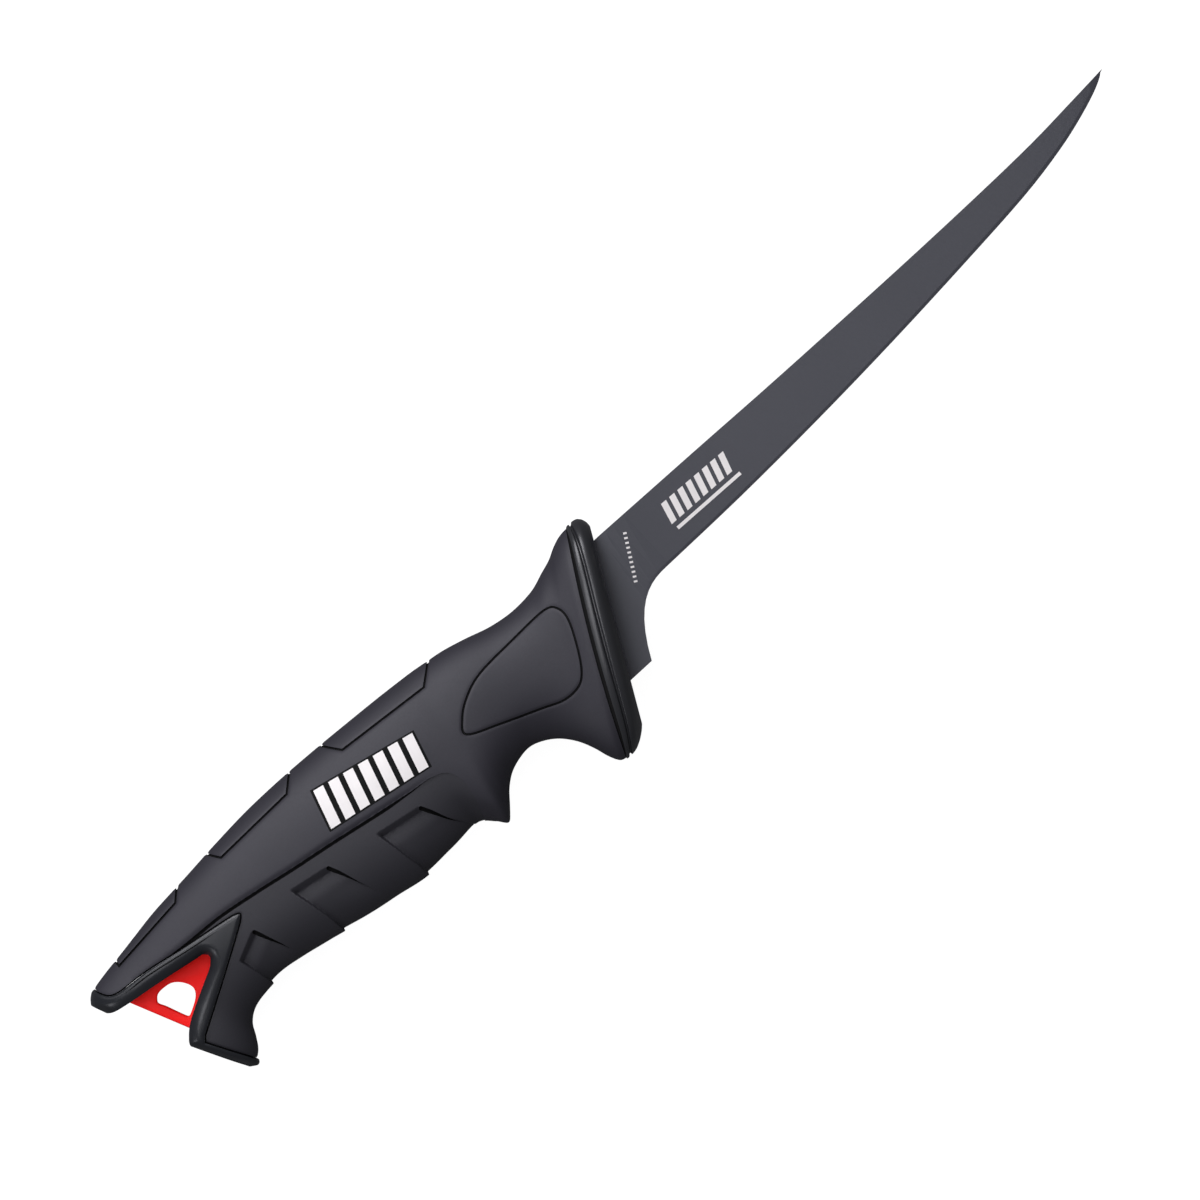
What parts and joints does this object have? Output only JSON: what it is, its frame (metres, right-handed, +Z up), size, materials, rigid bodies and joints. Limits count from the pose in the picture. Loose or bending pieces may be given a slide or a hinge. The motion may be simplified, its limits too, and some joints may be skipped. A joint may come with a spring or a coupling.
{
  "type": "fillet knife",
  "caption": "Fillet knife with a slim upswept dark blade, raked guard collar, rubber pistol grip with inlaid pads, and a forked butt holding a red lanyard insert.",
  "frame": {"origin": "middle of the lying knife's outline, on the surface that it lies on", "axes": "+X from the butt to the point of the blade, +Y from the edge to the spine, +Z up from the surface, out of the side that the picture shows"},
  "size_m": [0.307, 0.049, 0.027],
  "materials": {
    "blade_coating": "matte ceramic coating",
    "core_plastic": "glass-filled moulding",
    "trim_plastic": "semi-gloss moulding",
    "insert_plastic": "satin moulding",
    "main_rubber": "fine matte grain",
    "finger_rubber": "fine matte grain",
    "pad_rubber": "fine matte grain"
  },
  "bodies": {
    "root": {"blade": "blade_coating", "core": "core_plastic", "guard_collar": "trim_plastic", "fork_frame": "trim_plastic", "lanyard_insert": "insert_plastic", "main_grip": "main_rubber", "finger_grip": "finger_rubber", "spine_pad_rear": "pad_rubber", "spine_pad_middle": "pad_rubber", "spine_pad_front": "pad_rubber", "thumb_pad_left": "pad_rubber", "thumb_pad_right": "pad_rubber"}
  },
  "joints": []
}
